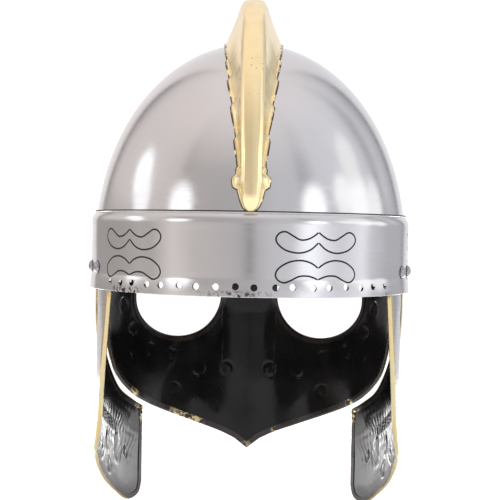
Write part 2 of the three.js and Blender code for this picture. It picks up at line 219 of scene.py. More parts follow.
# %% Node helpers
class Recipe:
    """A material's node tree, with short calls for the layers that the finishes share."""

    def __init__(self, name, metallic):
        self.material = bpy.data.materials.new(name)
        self.material.use_nodes = True
        self.nodes = self.material.node_tree.nodes
        self.links = self.material.node_tree.links
        self.shader = self.nodes["Principled BSDF"]
        self.shader.inputs["Metallic"].default_value = metallic
        self.place = self.nodes.new("ShaderNodeTexCoord").outputs["Object"]

    def join(self, source, target):
        self.links.new(source, target)

    def stretched(self, scale):
        mapping = self.nodes.new("ShaderNodeMapping")
        mapping.inputs["Scale"].default_value = scale
        self.join(self.place, mapping.inputs["Vector"])
        return mapping.outputs["Vector"]

    def noise(self, scale, detail=3.0, roughness=0.5, stretch=(1, 1, 1)):
        node = self.nodes.new("ShaderNodeTexNoise")
        node.inputs["Scale"].default_value = scale
        node.inputs["Detail"].default_value = detail
        node.inputs["Roughness"].default_value = roughness
        self.join(self.stretched(stretch), node.inputs["Vector"])
        return node.outputs["Fac"]

    def pits(self, scale):
        node = self.nodes.new("ShaderNodeTexVoronoi")
        node.inputs["Scale"].default_value = scale
        self.join(self.place, node.inputs["Vector"])
        return node.outputs["Distance"]

    def steps(self, value, *stops):
        """A colour ramp: stops are (position, colour)."""
        node = self.nodes.new("ShaderNodeValToRGB")
        ramp = node.color_ramp
        while len(ramp.elements) < len(stops):
            ramp.elements.new(0.5)
        for element, (position, colour) in zip(ramp.elements, stops):
            element.position = position
            element.color = (*colour, 1) if len(colour) == 3 else colour
        self.join(value, node.inputs["Fac"])
        return node.outputs["Color"]

    def span(self, value, low, high, start=0.0, end=1.0):
        node = self.nodes.new("ShaderNodeMapRange")
        for key, number in (("From Min", low), ("From Max", high), ("To Min", start), ("To Max", end)):
            node.inputs[key].default_value = number
        self.join(value, node.inputs["Value"])
        return node.outputs["Result"]

    def mixed(self, factor, first, second):
        node = self.nodes.new("ShaderNodeMix")
        node.data_type = "RGBA"
        self.join(factor, node.inputs["Factor"])
        for socket, source in ((node.inputs[6], first), (node.inputs[7], second)):
            if isinstance(source, tuple):
                socket.default_value = (*source, 1)
            else:
                self.join(source, socket)
        return node.outputs[2]

    def combined(self, operation, first, second):
        node = self.nodes.new("ShaderNodeMath")
        node.operation = operation
        self.join(first, node.inputs[0])
        self.join(second, node.inputs[1])
        return node.outputs[0]

    def height(self):
        parts = self.nodes.new("ShaderNodeSeparateXYZ")
        self.join(self.place, parts.inputs[0])
        return parts.outputs["Z"]

    def across_map(self):
        """The share across the sheet, from the piece's own UV map."""
        uv = self.nodes.new("ShaderNodeUVMap")
        uv.uv_map = "UVMap"
        parts = self.nodes.new("ShaderNodeSeparateXYZ")
        self.join(uv.outputs["UV"], parts.inputs[0])
        return parts.outputs["Y"]

    def bump(self, height, distance, strength=1.0, below=None):
        node = self.nodes.new("ShaderNodeBump")
        node.inputs["Distance"].default_value = distance
        node.inputs["Strength"].default_value = strength
        self.join(height, node.inputs["Height"])
        if below is not None:
            self.join(below, node.inputs["Normal"])
        return node.outputs["Normal"]

    def finish(self, colour=None, roughness=None, normal=None):
        for key, source in (("Base Color", colour), ("Roughness", roughness), ("Normal", normal)):
            if source is not None:
                self.join(source, self.shader.inputs[key])
        return self.material


print("node helpers ready")

# %% [markdown]
# Polished steel is nearly colourless. Its slow unevenness is what makes the soft wavy bands in the
# reflections. Polishing lines run round the bowl, so the fine noise is squeezed upright.


# %% Polished steel
# Near black: dirt in the nicks and pits, and painted shade along the crest's foot.
DIRT_AND_SHADE = (0.035, 0.024, 0.014)


def chips(recipe, low, high):
    """A mask of small dark nicks between two heights, in a few short runs."""
    near = recipe.span(recipe.height(), low, high, 1.0, 0.0)
    run = recipe.span(recipe.noise(16, detail=1), 0.55, 0.6)
    nicks = recipe.span(recipe.noise(420, detail=3, roughness=0.6), 0.5, 0.55)
    return recipe.combined("MULTIPLY", recipe.combined("MULTIPLY", near, run), nicks)


def polished_steel(name, tone, gloss, waves, chipped=None):
    steel = Recipe(name, metallic=1.0)
    cloud = steel.noise(9, detail=4)
    lines = steel.noise(60, detail=6, roughness=0.6, stretch=(0.6, 0.6, 9))
    shade = tuple(t * 0.88 for t in tone)
    colour = steel.mixed(steel.span(cloud, 0.35, 0.7), tone, shade)
    if chipped is not None:
        colour = steel.mixed(chips(steel, *chipped), colour, DIRT_AND_SHADE)
    roughness = steel.span(lines, 0.3, 0.75, gloss, gloss + 0.12)
    slow = steel.bump(steel.noise(waves, detail=1.5), 0.0016, 0.5)
    fine = steel.bump(lines, 0.00002, 0.5, below=slow)
    return steel.finish(colour, roughness, fine)


STEEL = (0.64, 0.635, 0.645)
PLATE_TONE = (0.5, 0.495, 0.505)
RIVET_TONE = (0.36, 0.36, 0.38)
skull_steel = polished_steel("skull_steel", STEEL, gloss=0.09, waves=13)
chipped_edge = (RIM + 2 * MM, RIM + 4.5 * MM)
band_steel = polished_steel("band_steel", STEEL, gloss=0.1, waves=24, chipped=chipped_edge)
plate_steel = polished_steel("plate_steel", PLATE_TONE, gloss=0.2, waves=22)
rivet_steel = polished_steel("rivet_steel", RIVET_TONE, gloss=0.26, waves=90)
print("steel finishes:", skull_steel.name, band_steel.name, plate_steel.name, rivet_steel.name)

# %% [markdown]
# The brass is pale and bright, with a few dark pits left by casting sand and hammer, and browner
# tarnish in patches. A broken dark line along the foot is painted shade where the crest meets the skull.


# %% Polished brass
BRASS = (0.95, 0.79, 0.47)
BRASS_DULL = (0.70, 0.52, 0.24)


def along_edge(recipe):
    """0 at both long edges of the sheet and 1 in the middle."""
    fold = recipe.nodes.new("ShaderNodeMath")
    fold.operation = "PINGPONG"
    fold.inputs[1].default_value = 0.5
    recipe.join(recipe.across_map(), fold.inputs[0])
    return recipe.span(fold.outputs[0], 0, 0.5)


def crest_finish(name):
    brass = Recipe(name, metallic=1.0)
    cloud = brass.noise(26, detail=5, roughness=0.6)
    colour = brass.mixed(brass.span(cloud, 0.46, 0.8, 0, 0.4), BRASS, BRASS_DULL)
    few = brass.span(brass.noise(34, detail=2), 0.58, 0.62)
    pits = brass.combined("MULTIPLY", brass.span(brass.pits(300), 0.06, 0.14, 1.0, 0.0), few)
    # Along the foot a broken dark line is painted shade where the crest meets the skull.
    foot = brass.span(along_edge(brass), 0.095, 0.135, 1.0, 0.0)
    fray = brass.span(brass.noise(210, detail=4, roughness=0.6), 0.40, 0.47)
    foot_shade = brass.combined("MULTIPLY", foot, fray)
    dark = brass.mixed(pits, brass.mixed(foot_shade, colour, DIRT_AND_SHADE), DIRT_AND_SHADE)
    roughness = brass.span(cloud, 0.3, 0.75, 0.15, 0.30)
    slow = brass.bump(brass.noise(40, detail=2), 0.0009, 0.5)
    sunk = brass.bump(brass.span(pits, 0, 1, 1, 0), 0.0002, 0.6, below=slow)
    return brass.finish(dark, roughness, sunk)


crest_brass = crest_finish("crest_brass")
print("brass finish:", crest_brass.name)

# %% [markdown]
# The inside is brushed with thick black gloss paint. Paint is not a metal: a dark base under a clear
# shine, with the ripple of the brush and a little dust in the hollows.


# %% Black gloss paint
PAINT = (0.004, 0.004, 0.0045)
DUSTY_PAINT = (0.012, 0.011, 0.011)


def black_gloss(name, shine):
    paint = Recipe(name, metallic=0.0)
    paint.shader.inputs["Specular IOR Level"].default_value = shine
    cloud = paint.noise(18, detail=5)
    colour = paint.mixed(paint.span(cloud, 0.4, 0.75), PAINT, DUSTY_PAINT)
    roughness = paint.span(paint.noise(40, detail=6), 0.35, 0.75, 0.10, 0.30)
    ripple = paint.bump(paint.noise(120, detail=3), 0.00022, 0.5)
    return paint.finish(colour, roughness, ripple)


paint_black = black_gloss("paint_black", shine=0.22)
cheek_paint = black_gloss("cheek_paint", shine=0.9)  # laid on thicker
print("paint:", paint_black.name, cheek_paint.name)

# %% [markdown]
# A chiselled line is a narrow cut, and it is painted near black as painted shade, like the crack above
# the band and the seam round each rivet head. It is a plain dark, rough metal.


# %% Painted shade in the cuts
def painted_shade_finish(name):
    cut = Recipe(name, metallic=0.3)
    grit = cut.noise(400, detail=4)
    colour = cut.mixed(cut.span(grit, 0.3, 0.7), (0.012, 0.011, 0.01), (0.05, 0.047, 0.044))
    return cut.finish(colour, cut.span(grit, 0.2, 0.8, 0.45, 0.8), cut.bump(grit, 0.00005))


painted_shade_dark = painted_shade_finish("painted_shade_dark")
print("cuts:", painted_shade_dark.name)

# %% [markdown]
# ## Skull
#
# The skull is one sheet of steel raised into an oval bowl. A lathe can't make an oval, so it grows from
# a circle: the ring at the lower edge is scaled to the oval, then extruded and drawn in, ring by ring,
# until the top ring is merged into one point. Solidify gives it the sheet's thickness inwards.


# %% Skull
def bowl_share(height):
    """How much of the widest outline is left at this height."""
    t = max(0.0, (height - WIDEST) / (SKULL_TOP - WIDEST))
    return math.sqrt(max(0.0, 1 - t**BOWL_POWER))


BOWL_RINGS = 44
bpy.ops.object.select_all(action="DESELECT")
bpy.ops.mesh.primitive_circle_add(vertices=192, radius=1, location=(0, 0, SKULL_EDGE))
skull = started("skull_bowl")
skull.scale = (HALF_WIDTH, HALF_LENGTH, 1)
bpy.ops.object.transform_apply(location=True, rotation=True, scale=True)
bpy.ops.object.mode_set(mode="EDIT")
bpy.ops.mesh.select_all(action="SELECT")
height, share = SKULL_EDGE, 1.0
for ring in range(BOWL_RINGS):
    turn = math.pi / 2 * ring / BOWL_RINGS
    next_height = WIDEST + math.sin(turn) ** (2 / BOWL_POWER) * (SKULL_TOP - WIDEST)
    next_share = bowl_share(next_height)
    bpy.ops.mesh.extrude_region_move(TRANSFORM_OT_translate={"value": (0, 0, next_height - height)})
    draw_in = next_share / share
    bpy.ops.transform.resize(value=(draw_in, draw_in, 1), center_override=(0, 0, next_height))
    height, share = next_height, next_share
bpy.ops.mesh.extrude_region_move(TRANSFORM_OT_translate={"value": (0, 0, SKULL_TOP - height)})
bpy.ops.mesh.merge(type="CENTER")
bpy.ops.object.mode_set(mode="OBJECT")
face_out(skull)
skull.data.materials.append(skull_steel)
skull.data.materials.append(paint_black)
press(skull, "SOLIDIFY", thickness=SHEET, offset=-1, material_offset=1)
smooth(skull)
finished(skull, "skull_steel", "skull")

# %% [markdown]
# ## Brow band
#
# The band is a separate strip, closed into a ring and pushed up over the skull. Its top edge is rolled
# into a rounded shoulder, and its lowest centimetre flares out as a lip. It is grown like the skull:
# one ring that follows the band's outline from the rim up.

# %% Brow band outline
BAND_HEIGHT = band_high.z - RIM
LIP_HEIGHT = 10.5 * MM
LIP_FLARE = 1.1 * MM
SKULL_INSET = HALF_WIDTH * (1 - bowl_share(band_high.z))
BAND_OUTLINE = [
    (0, LIP_FLARE),
    (0.4 * MM, LIP_FLARE),
    (3.5 * MM, 0.8 * LIP_FLARE),
    (8 * MM, 0.45 * LIP_FLARE),
    (9.6 * MM, 0.15 * LIP_FLARE),
    (LIP_HEIGHT, 0),
    (12.5 * MM, 0.02 * MM),
    (20 * MM, 0.1 * MM),
    (30 * MM, 0.1 * MM),
    (36.5 * MM, 0.06 * MM),
    (38.6 * MM, 0.08 * MM),
    (40.2 * MM, 0.13 * MM),
    (41.6 * MM, 0.22 * MM),
    (42.8 * MM, 0.28 * MM),
    (44 * MM, 0.26 * MM),
    (45.2 * MM, 0.1 * MM),
    (46.8 * MM, -0.3 * MM),
    (48.4 * MM, -1.2 * MM),
    (49.4 * MM, -2.2 * MM),
    (BAND_HEIGHT, -SKULL_INSET),
]
print("band outline:", len(BAND_OUTLINE), "rings, shoulder comes in", round(SKULL_INSET, 4))

# %% Brow band
bpy.ops.object.select_all(action="DESELECT")
bpy.ops.mesh.primitive_circle_add(vertices=288, radius=1, location=(0, 0, RIM))
band = started("brow_band_steel")
band.scale = (HALF_WIDTH + BAND_OUT + LIP_FLARE, HALF_LENGTH + BAND_OUT + LIP_FLARE, 1)
bpy.ops.object.transform_apply(location=True, rotation=True, scale=True)
bpy.ops.object.mode_set(mode="EDIT")
bpy.ops.mesh.select_all(action="SELECT")
for (low, low_out), (high, high_out) in zip(BAND_OUTLINE, BAND_OUTLINE[1:]):
    across = (HALF_WIDTH + BAND_OUT + high_out) / (HALF_WIDTH + BAND_OUT + low_out)
    along = (HALF_LENGTH + BAND_OUT + high_out) / (HALF_LENGTH + BAND_OUT + low_out)
    bpy.ops.mesh.extrude_region_move(TRANSFORM_OT_translate={"value": (0, 0, high - low)})
    bpy.ops.transform.resize(value=(across, along, 1), center_override=(0, 0, RIM + high))
bpy.ops.object.mode_set(mode="OBJECT")
face_out(band)
band.data.materials.append(band_steel)
band.data.materials.append(paint_black)
press(band, "SOLIDIFY", thickness=BAND_SHEET, offset=-1, use_even_offset=True, material_offset=1)
press(band, "BEVEL", width=0.35 * MM, segments=2, limit_method="ANGLE", angle_limit=math.radians(60))
band.data.materials.append(painted_shade_dark)
for face in band.data.polygons:
    if face.center.z > band_high.z - 0.3 * MM and face.normal.z > 0.5:
        face.material_index = 2  # the shadowed crack between the band and the skull
print(band.name, len(band.data.polygons), "faces before the holes")

# %% [markdown]
# The nape has eighteen punched holes for a mail neck guard. One punch is modelled and copied round the
# lip, the copies are joined, and one Boolean cuts them all.

# %% Punched holes
HOLES = 18
HOLE_PITCH = 6.2  # degrees
HOLE_MIDDLE = 178.6  # the row was marked a little off the middle of the nape
HOLE_RADIUS = 2.1 * MM
HOLE_HEIGHT = 6 * MM
HOLE_WANDER = 0.35  # degrees; the maker marked the holes by eye
HOLE_LIFT = 0.3 * MM


def point_out(obj, degrees, height, out):
    """Turns a piece that stands along Z so that it points out of the wall, and moves it there."""
    obj.rotation_mode = "QUATERNION"
    obj.rotation_quaternion = oval_normal(degrees).to_track_quat("Z", "Y")
    obj.location = on_oval(degrees, height, out)


def joined(objects, name):
    pick(objects[0])
    for obj in objects:
        obj.select_set(True)
    bpy.ops.object.join()
    bpy.ops.object.transform_apply(location=True, rotation=True, scale=True)
    return started(name)


def punch(number):
    bpy.ops.mesh.primitive_cylinder_add(vertices=28, radius=HOLE_RADIUS, depth=16 * MM)
    tool = started("punch")
    wander = HOLE_WANDER * math.sin(2.7 * number)
    angle = HOLE_MIDDLE + (number - (HOLES - 1) / 2) * HOLE_PITCH + wander
    point_out(tool, angle, HOLE_HEIGHT + HOLE_LIFT * math.sin(4.1 * number), 0)
    return tool


def cut_with(obj, tool):
    press(obj, "BOOLEAN", operation="DIFFERENCE", object=tool, solver="EXACT", material_mode="TRANSFER")
    bpy.data.objects.remove(tool)


bpy.ops.object.select_all(action="DESELECT")
punches = joined([punch(number) for number in range(HOLES)], "punches")
punches.data.materials.append(band_steel)
cut_with(band, punches)
print("holes punched:", HOLES, "faces now", len(band.data.polygons))

# %% [markdown]
# ### Chiselled crescents
#
# Groups of crescents are cut into the band. Each group is two pairs, one above the other: in each pair
# two outlines meet in a point in the middle and swell into round lobes at the outer ends. A stroke is a
# thin tube laid on the surface, and the Boolean leaves half of it as a groove. Tubes that cross would
# confuse the Boolean, so the two sides of every pair are cut one after the other.


# %% Crescent strokes
def between(points, t):
    """The point at share t along a smooth line through the points."""
    count = len(points) - 1
    i = min(int(t * count), count - 1)
    s = t * count - i
    p0, p1, p2, p3 = (points[max(0, min(count, i + k))] for k in (-1, 0, 1, 2))
    mixed = []
    for a, b, c, d in zip(p0, p1, p2, p3):
        bend = (2 * a - 5 * b + 4 * c - d) * s * s + (3 * b - a - 3 * c + d) * s**3
        mixed.append(0.5 * (2 * b + (c - a) * s + bend))
    return tuple(mixed)


def smooth_line(points, count):
    return [between(points, i / count) for i in range(count + 1)]


GROUP_PLACES = [22.3, 88, 150, -149, -96, -43.6]  # degrees from the nape
GROUP_HALF = 26.5  # millimetres along the band
STROKE = 0.6 * MM
UPPER_MIDDLE, LOWER_MIDDLE = 32.6, 17.8  # heights of the points where each pair meets
# Outlines of one lobe: share of the half length, millimetres up from the meeting point.
UPPER_LOBE = [
    (0.008, 0),
    (0.2, -4.1),
    (0.46, -6),
    (0.76, -4.6),
    (0.95, -1),
    (1, 2.4),
    (0.92, 5.6),
    (0.78, 6.4),
    (0.62, 4.2),
    (0.44, 1.8),
    (0.26, 2.2),
    (0.12, 4),
    (0.008, 6.2),
]
LOWER_LOBE = [
    (0.008, 0),
    (0.18, 2.9),
    (0.42, 4.4),
    (0.7, 3.3),
    (0.93, -0.4),
    (1, -4.4),
    (0.93, -7.6),
    (0.8, -8.8),
    (0.66, -7.6),
    (0.46, -5.1),
    (0.26, -4.8),
    (0.1, -5.9),
    (0.008, -7),
]


def stroke(lobe, side, group, height):
    """A thin tube along one lobe's outline, laid on the band."""
    curve = bpy.data.curves.new("stroke", "CURVE")
    curve.dimensions = "3D"
    curve.bevel_depth = STROKE
    curve.bevel_resolution = 1
    curve.use_fill_caps = True
    line = smooth_line(lobe, 66)
    spline = curve.splines.new("POLY")
    spline.points.add(len(line) - 1)
    for point, (share, up) in zip(spline.points, line):
        along = side * share * GROUP_HALF * MM
        angle = NAPE + group + along / oval_scale(NAPE + group)
        point.co = (*on_oval(angle, (height + up) * MM, BAND_OUT + 0.15 * MM), 1)
    obj = bpy.data.objects.new("stroke", curve)
    bpy.context.collection.objects.link(obj)
    pick(obj)
    bpy.ops.object.convert(target="MESH")
    return bpy.context.object


before = len(band.data.polygons)
for side in (1, -1):
    strokes = []
    for group in GROUP_PLACES:
        strokes.append(stroke(UPPER_LOBE, side, group, UPPER_MIDDLE))
        strokes.append(stroke(LOWER_LOBE, side, group, LOWER_MIDDLE))
    chisel = joined(strokes, "chisel")
    face_out(chisel)
    # The cut faces take the near-black finish: painted shade in the grooves.
    chisel.data.materials.append(painted_shade_dark)
    cut_with(band, chisel)
smooth(band, 30)
print("strokes cut:", len(GROUP_PLACES) * 4, "faces from", before, "to", len(band.data.polygons))
finished(band, "band_steel", "brow_band")

# %% [markdown]
# ## Sheets wrapped on the oval
#
# The mask, the cheek plates and the crest are sheets with a curved outline, bent over a curved form. By
# hand this would be a grid, trimmed and then bent with a lattice. Here the grid's corners go straight to
# their places by a formula, because the outline has to meet the bindings exactly. Solidify then gives
# the wall, and its material offset paints the inside.


# %% Wrapping a grid
def wrapped(name, columns, rows, place):
    """A grid whose corners (u, v), each from 0 to 1, are moved to place(u, v)."""
    bpy.ops.object.select_all(action="DESELECT")
    bpy.ops.mesh.primitive_grid_add(x_subdivisions=columns, y_subdivisions=rows, size=1)
    sheet = started(name)
    for vertex in sheet.data.vertices:
        vertex.co = place(vertex.co.x + 0.5, vertex.co.y + 0.5)
    return sheet


def height_at(line, degrees):
    """Height of a line of (degrees, height) points at one angle."""
    if degrees <= line[0][0]:
        return line[0][1]
    for (a0, z0), (a1, z1) in zip(line, line[1:]):
        if a0 <= degrees <= a1:
            return z0 + (z1 - z0) * (degrees - a0) / max(a1 - a0, 1e-9)
    return line[-1][1]


print("a line through three points, half way:", between([(0, 0), (1, 1), (2, 0)], 0.5))

# %% [markdown]
# ## Crest
#
# The brass crest is a hollow ridge from brow to nape. Its section is a round-topped ridge with a sloping
# flank on each side, and it grows wide and tall over the crown. Each flank is chased with slanting
# pleats. Near each end two small tabs fold out like a beast's ears, and the ridge ends in a snout. The
# sheet is wrapped along the skull's middle line: u runs along the arch and v across it.

# %% Crest stations
CREST_SHEET = 1.2 * MM
CREST_GAP = 0.45 * MM
CREST_END = 80.1  # degrees from the top to each tip
PLEAT = 30 * MM  # length of one pleat along the arch
PLEAT_DEPTH = 1.4 * MM
CREST_HEM = 1.6 * MM  # the flat strip along the foot
# Degrees from the top, then half width of the base, half width and height of the ridge, in millimetres.
CREST_STATIONS = [
    (0, 19.0, 7.0, 28.7),
    (12, 18.7, 6.9, 28.1),
    (24, 17.7, 6.5, 26.3),
    (34, 16.4, 6.0, 24.0),
    (43, 14.8, 5.6, 21.0),
    (52, 12.6, 5.2, 17.6),
    (60, 10.6, 4.8, 14.4),
    (67, 9.0, 4.4, 11.8),
    (71.6, 8.3, 4.2, 9.7),
    (72.6, 10.9, 4.2, 9.2),
    (74.4, 10.4, 4.2, 8.5),
    (75.0, 7.6, 4.1, 8.1),
    (76.6, 6.7, 3.8, 7.3),
    (77.9, 5.8, 3.4, 6.1),
    (78.9, 4.8, 2.9, 4.6),
    (79.6, 3.6, 2.2, 3.0),
    (CREST_END, 2.0, 1.2, 1.2),
]


def crown_point(degrees):
    """Point and outward direction of the skull's middle line, from the top towards the nape."""

    def at(d):
        share = abs(math.cos(math.radians(d))) ** (2 / BOWL_POWER)
        return Vector((0, HALF_LENGTH * math.sin(math.radians(d)), WIDEST + share * (SKULL_TOP - WIDEST)))

    along = (at(degrees + 0.5) - at(degrees - 0.5)).normalized()
    return at(degrees), Vector((0, -along.z, along.y))


def skull_drop(point, normal, across):
    """How far the skull lies below its middle line, `across` to the side."""
    low, high = 0.0, 0.02
    for _ in range(18):
        middle = (low + high) / 2
        p = point - normal * middle
        t = max(0.0, (p.z - WIDEST) / (SKULL_TOP - WIDEST))
        outside = (across / HALF_WIDTH) ** 2 + (p.y / HALF_LENGTH) ** 2 + t**BOWL_POWER > 1
        low, high = (middle, high) if outside else (low, middle)
    return high


def crest_station(degrees):
    d = abs(degrees)
    for start, end in zip(CREST_STATIONS, CREST_STATIONS[1:]):
        if d <= end[0]:
            s = (d - start[0]) / (end[0] - start[0])
            return [(a + (b - a) * s) * MM for a, b in zip(start[1:], end[1:])]
    return [value * MM for value in CREST_STATIONS[-1][1:]]


def crest_section(share, foot, ridge, height):
    """A point of half the section, from the foot (0) over the flank to the middle of the ridge (1)."""
    hem = min(CREST_HEM, foot - ridge)
    outline = [
        (foot, 0.0),
        (foot - 0.1 * MM, 0.5 * MM),
        (foot - hem, 0.9 * MM),
        (ridge + (foot - hem - ridge) * 0.7, height * 0.25),
        (ridge + (foot - hem - ridge) * 0.38, height * 0.53),
        (ridge * 1.2, height * 0.79),
        (ridge * 1.0, height * 0.9),
        (ridge * 0.84, height * 0.955),
        (ridge * 0.46, height * 0.985),
        (0.0, height),
    ]
    return between(outline, share)


def crest_place(u, v):
    degrees = CREST_END * (2 * u - 1)
    point, normal = crown_point(degrees)
    foot, ridge, height = crest_station(degrees)
    share = 1 - abs(2 * v - 1)
    across, up = crest_section(share, foot, ridge, height)
    flank = math.sin(math.pi * min(1.0, share / 0.56)) if abs(degrees) < 70 else 0.0
    along = abs(math.radians(degrees)) * (SKULL_TOP - RIM) + 0.9 * (foot - across)
    pleat = PLEAT_DEPTH * flank * (along / PLEAT % 1)
    drop = skull_drop(point, normal, across) - CREST_GAP
    lift = up - drop * max(0.0, 1 - up / (4 * MM)) - 0.6 * pleat
    side = 1 if v > 0.5 else -1
    place = point + normal * lift
    place.x = side * max(0.0, across - 0.8 * pleat)
    return place


# %% Crest
crest = wrapped("crest_brass_ridge", 420, 64, crest_place)
face_out(crest)
if crest.data.polygons[len(crest.data.polygons) // 2].normal.z < 0:
    crest.data.flip_normals()
press(crest, "SOLIDIFY", thickness=CREST_SHEET, offset=-1)
smooth(crest, 32)
crest.data.materials.append(crest_brass)
finished(crest, "crest_brass", "crest")

# %% [markdown]
# ## Face mask
#
# The mask hangs inside the band and covers the nose and cheeks. The band's edge closes the two eye
# openings at the top, so each one reads as a round-bottomed D. Between the eyes the sheet is raised
# into a blunt nose, and the cheeks carry punched rings, which stand out in front and show as dimples
# inside.

# %% Mask outline
PLATE_TOP = 22 * MM
EYE_CENTRE = 53.3 * MM
EYE_RADIUS = 32.2 * MM
EYE_HEIGHT = -11.6 * MM
NOSE_LIFT = 5 * MM
NOSE_HALF = 24
NOSE_START = -3 * MM
NOSE_FULL = -26 * MM
MASK_SIDE = 80.2
BRIDGE_SHARE, EYE_SHARE = 0.2, 0.62  # shares of the grid where the eye opening starts and ends
EYE_MARGIN = 0.15  # degrees of air beside the opening
MASK_LOWER = [
    (0, -131.5),
    (5, -124),
    (12, -117.4),
    (23, -109.3),
    (34, -101.4),
    (45, -93),
    (53, -85.8),
    (59, -78.8),
    (65, -70.2),
    (70.4, -60),
    (75.2, -44),
    (78.6, -20),
    (80, 0),
]


def in_metres(points):
    return [(a, z * MM) for a, z in points]


mask_lower = [in_metres(MASK_LOWER)[0]] + smooth_line(in_metres(MASK_LOWER[1:]), 60)


def eye_angle(turn):
    """Where the round edge of an eye opening stands after so much of its half circle, from the nose."""
    x = EYE_CENTRE - EYE_RADIUS * math.cos(math.pi * turn)
    return math.degrees(math.asin(x / (HALF_WIDTH + PLATE_OUT)))


def eye_low(turn):
    return EYE_HEIGHT - EYE_RADIUS * math.sin(math.pi * turn)


def nose_lift(degrees, height):
    across = 0.5 + 0.5 * math.cos(math.pi * min(1.0, abs(degrees) / NOSE_HALF))
    down = min(1.0, max(0.0, (NOSE_START - height) / (NOSE_START - NOSE_FULL)))
    return NOSE_LIFT * across * down * down * (3 - 2 * down)


print("eye openings from", round(eye_angle(0), 1), "to", round(eye_angle(1), 1), "degrees each side")

# %% Punched rings
RINGS = [
    (63.5, -17, 5.5),
    (57, -34, 4.6),
    (46.5, -51, 5.2),
    (35, -57, 4.4),
    (22.5, -69, 5.4),
    (9.5, -70, 5.6),
    (34, -83, 4.4),
    (60, -57, 4.6),
]
RING_LINE = 1.0 * MM  # half width of the ring's raised line
RING_DEPTH = 0.5 * MM


def ring_relief(degrees, height):
    relief = 0.0
    for angle, z, radius in RINGS:
        if abs(abs(degrees) - angle) > 9:
            continue
        x = (abs(degrees) - angle) * oval_scale(angle)
        r = math.hypot(x, height - z * MM)
        from_line = abs(r - radius * MM) / RING_LINE
        turn = math.atan2(height - z * MM, x)
        firm = 0.55 + 0.45 * math.sin(turn + 0.7 * angle)  # one side of the punch bit deeper
        relief += RING_DEPTH * firm * math.exp(-from_line * from_line)
    return relief


def hammered(degrees, height):
    """The slow unevenness of a sheet beaten over a form."""
    x = degrees * 1.9
    z = height / MM
    return 0.22 * MM * (math.sin(0.19 * x + 0.07 * z) + math.sin(0.13 * z - 0.08 * x + 1.3))


def mask_column(u):
    """Angle and upper height of the mask's column at share u of the grid."""
    s = 2 * u - 1
    side, share = (1, s) if s >= 0 else (-1, -s)
    inner, outer = eye_angle(0), eye_angle(1)
    if share <= BRIDGE_SHARE:
        return side * (inner - EYE_MARGIN) * share / BRIDGE_SHARE, PLATE_TOP
    if share < EYE_SHARE:
        turn = (share - BRIDGE_SHARE) / (EYE_SHARE - BRIDGE_SHARE)
        return side * eye_angle(turn), eye_low(turn)
    rest = (share - EYE_SHARE) / (1 - EYE_SHARE)
    return side * (outer + EYE_MARGIN + (MASK_SIDE - outer - EYE_MARGIN) * rest), PLATE_TOP


def mask_place(u, v):
    degrees, top = mask_column(u)
    low = height_at(mask_lower, abs(degrees))
    height = low + (top - low) * v
    fade = min(1.0, max(0.0, (-6 * MM - height) / (6 * MM)))
    inset = fade * (0.6 * hammered(degrees, height) + ring_relief(degrees, height))
    return on_oval(degrees, height, PLATE_OUT + nose_lift(degrees, height) + inset - fade * 0.45 * MM)


# %% Face mask
def plated(sheet, thickness, inside):
    """Gives a sheet its wall: steel outside, black gloss inside."""
    face_out(sheet)
    middle = sheet.data.polygons[len(sheet.data.polygons) // 2]
    if middle.normal.dot(Vector((middle.center.x, middle.center.y, 0))) < 0:
        sheet.data.flip_normals()
    sheet.data.materials.append(plate_steel)
    sheet.data.materials.append(inside)
    press(sheet, "SOLIDIFY", thickness=thickness, offset=-1, material_offset=1)
    smooth(sheet, 40)


mask = wrapped("face_mask_sheet", 330, 140, mask_place)
plated(mask, SHEET, paint_black)
finished(mask, "mask_steel", "face_mask")

# %% [markdown]
# ## Cheek plates
#
# Each cheek plate is cut from sheet with a narrow neck that is riveted inside the band, and widens
# downwards. Its relief is punched from outside: a slanting row of short strokes, like a twisted cord,
# under the neck, and a spray of tall, uneven leaves below it.

# %% Cheek plate outline
CHEEK_FRONT = 50.8
CHEEK_UPPER = [
    (CHEEK_FRONT, -94),
    (57.4, -87.2),
    (66, -77.6),
    (73.6, -63.4),
    (81, -47),
    (88, -33),
    (94.5, -15),
    (98.4, 0),
]
CHEEK_LOWER = [
    (CHEEK_FRONT, -150),
    (52.2, -157.5),
    (55.7, -160.4),
    (60, -159.2),
    (67, -151),
    (76.4, -139.6),
    (86, -126),
    (95, -114.4),
    (101.5, -107.6),
    (106.2, -99.5),
    (109.4, -89.5),
    (111.2, -80),
    (113, -64),
    (116.6, -34),
    (119.4, -6),
    (119.6, 0),
]
cheek_upper = smooth_line(in_metres(CHEEK_UPPER), 60)
cheek_lower = smooth_line(in_metres(CHEEK_LOWER), 120)

LEAVES = [  # millimetres from the front edge, low, high, half width, how far it leans
    (33, -130, -102, 5.4, 1),
    (51, -119, -103, 3.6, 1),
    (62, -122, -110, 4.4, -2),
    (21, -129, -120, 2.0, 1),
    (76, -112, -92, 5, 2),
    (47, -136, -124, 3, 2),
]
HATCH_LOW = (35, -104)  # ends of the twisted row, millimetres from the front edge and height
HATCH_HIGH = (70, -86)
HATCH_DEPTH, VEIN_DEPTH = 0.4, 0.12  # millimetres
RIM_LIFT, LEAF_DISH = 0.26, 0.45
WORKED_MIDDLE = (46, -110)  # the ground round the leaves is lightly chased
WORKED_REACH = (34, 26)


def leaf_relief(x, z, middle, low, high, half, lean):
    """A raised outline round a dished leaf that is fuller at its foot."""
    t = (z - (low + high) / 2) / ((high - low) / 2)
    if abs(t) > 1.4:
        return 0.0
    r = math.hypot((x - middle - lean * t) / (half * (1 - 0.35 * t)), t)
    dish = max(0.0, 1 - r * r)
    return RIM_LIFT * math.exp(-(((r - 1) / 0.2) ** 2)) - LEAF_DISH * dish * dish


